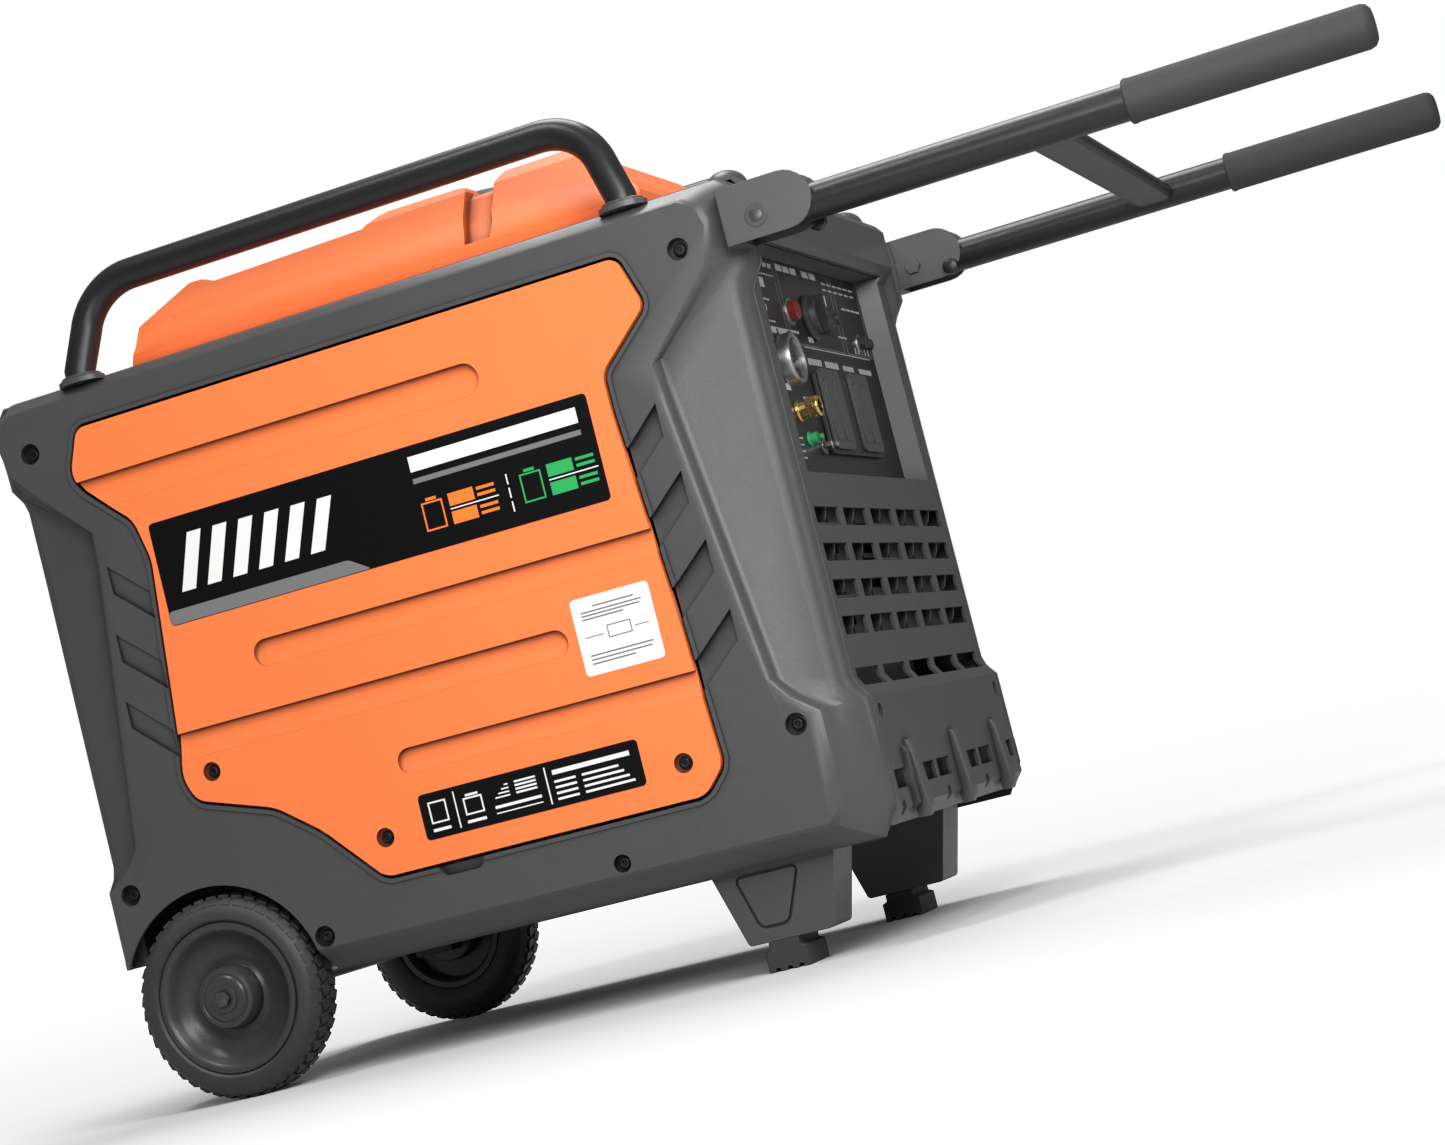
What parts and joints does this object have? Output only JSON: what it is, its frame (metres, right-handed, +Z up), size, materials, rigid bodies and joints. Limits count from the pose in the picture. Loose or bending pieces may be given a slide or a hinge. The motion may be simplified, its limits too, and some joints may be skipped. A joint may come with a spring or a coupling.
{
  "type": "inverter generator",
  "caption": "Closed-frame portable inverter generator on two wheels, with a fold-down pull handle, lift bars, a recessed control panel and an engine inside.",
  "frame": {"origin": "on the floor under the middle of the bounding box, with the handle out and level", "axes": "+X towards the control panel and the handle grips, +Y the generator's left side, +Z up"},
  "size_m": [1.279, 0.542, 0.7568],
  "materials": {
    "housing": "textured moulded",
    "orange": "satin moulded",
    "black_plastic": "moulded",
    "black_steel": "powder coat",
    "steel": "zinc plated",
    "tyre": "treaded",
    "rubber": "moulded",
    "foam": "soft grip",
    "casting": "cast",
    "brass": "turned",
    "green": "moulded",
    "red": "moulded"
  },
  "bodies": {
    "generator": {"side_shell_right": "housing", "service_cover_right": "orange", "hub_bolt_right": "steel", "leg_right": "housing", "rubber_foot_right": "rubber", "handle_bracket_right": "black_steel", "pivot_bolt_right": "steel", "lift_bar_right": "black_steel", "side_shell_left": "housing", "service_cover_left": "orange", "hub_bolt_left": "steel", "leg_left": "housing", "rubber_foot_left": "rubber", "handle_bracket_left": "black_steel", "pivot_bolt_left": "steel", "lift_bar_left": "black_steel", "front_cover": "housing", "rear_cover": "housing", "tank_cover": "orange", "base_frame": "black_steel", "fuel_tank": "black_plastic", "engine_block": "casting", "cylinder_head": "casting", "stator": "brass", "recoil_housing": "black_plastic", "muffler": "casting", "tail_pipe": "steel", "battery": "black_plastic", "air_cleaner": "black_plastic", "carburettor": "casting", "inverter_module": "casting", "axle": "steel", "control_panel": "black_plastic", "locking_outlet": "steel", "gas_inlet": "brass", "earth_terminal": "green", "outlet_block": "black_plastic"},
    "handle": {"handle_tube_right": "black_steel", "handle_tube_left": "black_steel", "handle_crossbar": "black_steel", "handle_grip_right": "foam", "handle_grip_left": "foam"},
    "wheel_right": {"tyre_right": "tyre", "wheel_rim_right": "black_plastic"},
    "wheel_left": {"tyre_left": "tyre", "wheel_rim_left": "black_plastic"},
    "pin_right": {"lock_pin_right": "steel"},
    "pin_left": {"lock_pin_left": "steel"},
    "cap": {"fuel_cap": "black_plastic"},
    "dial": {"engine_dial": "black_plastic"},
    "start": {"start_button": "red"},
    "breaker": {"breaker_button": "black_plastic"},
    "rocker": {"eco_rocker": "black_plastic"},
    "flap_inner": {"outlet_flap_inner": "housing"},
    "flap_outer": {"outlet_flap_outer": "housing"},
    "crank": {"crankshaft": "steel", "flywheel_rotor": "steel", "cooling_fan": "black_plastic"},
    "pulley": {"recoil_pulley": "black_plastic"},
    "pull_grip": {"recoil_grip": "black_plastic"}
  },
  "joints": [
    {"name": "handle_fold", "type": "hinge", "parent": "generator", "child": "handle", "pos_m": [0.1205, 0, 0.6128], "axis": [0, 1, 0], "range_deg": [0, 87]},
    {"name": "wheel_right_spin", "type": "hinge", "parent": "generator", "child": "wheel_right", "pos_m": [-0.5295, 0, 0.0903], "axis": [0, 1, 0], "continuous": true},
    {"name": "wheel_left_spin", "type": "hinge", "parent": "generator", "child": "wheel_left", "pos_m": [-0.5295, 0, 0.0903], "axis": [0, 1, 0], "continuous": true},
    {"name": "lock_pin_right_pull", "type": "slide", "parent": "generator", "child": "pin_right", "axis": [0, 1, 0], "range_m": [0, 0.008], "stiffness_N_per_m": 500},
    {"name": "lock_pin_left_pull", "type": "slide", "parent": "generator", "child": "pin_left", "axis": [0, -1, 0], "range_m": [0, 0.008], "stiffness_N_per_m": 500},
    {"name": "fuel_cap_turn", "type": "hinge", "parent": "generator", "child": "cap", "pos_m": [-0.1795, -0.075, 0.73], "axis": [0, 0, 1], "range_deg": [0, 90]},
    {"name": "engine_dial_turn", "type": "hinge", "parent": "generator", "child": "dial", "pos_m": [0.069, 0, 0.558], "axis": [1, 0, 0], "range_deg": [-45, 90]},
    {"name": "start_button_press", "type": "slide", "parent": "generator", "child": "start", "axis": [-1, 0, 0], "range_m": [0, 0.003], "stiffness_N_per_m": 300},
    {"name": "breaker_button_press", "type": "slide", "parent": "generator", "child": "breaker", "axis": [-1, 0, 0], "range_m": [0, 0.003], "stiffness_N_per_m": 300},
    {"name": "eco_rocker_rock", "type": "hinge", "parent": "generator", "child": "rocker", "pos_m": [0.0675, 0.058, 0.561], "axis": [0, 1, 0], "range_deg": [-12, 12]},
    {"name": "flap_inner_lift", "type": "hinge", "parent": "generator", "child": "flap_inner", "pos_m": [0.0736, -0.01, 0.507], "axis": [0, -1, 0], "range_deg": [0, 105]},
    {"name": "flap_outer_lift", "type": "hinge", "parent": "generator", "child": "flap_outer", "pos_m": [0.0736, 0.085, 0.507], "axis": [0, -1, 0], "range_deg": [0, 105]},
    {"name": "crank_turn", "type": "hinge", "parent": "generator", "child": "crank", "pos_m": [-0.2795, 0, 0.245], "axis": [0, 1, 0], "continuous": true},
    {"name": "recoil_pull", "type": "slide", "parent": "generator", "child": "pull_grip", "axis": [0, 1, 0], "range_m": [0, 0.5], "stiffness_N_per_m": 20},
    {"name": "recoil_pulley_turn", "type": "hinge", "parent": "generator", "child": "pulley", "pos_m": [-0.2795, 0.174, 0.245], "axis": [0, 1, 0], "range_deg": [0, 700]}
  ],
  "couplings": [
    {"joint": "recoil_pulley_turn", "follows": "recoil_pull", "rad_per_m": 23.8}
  ]
}
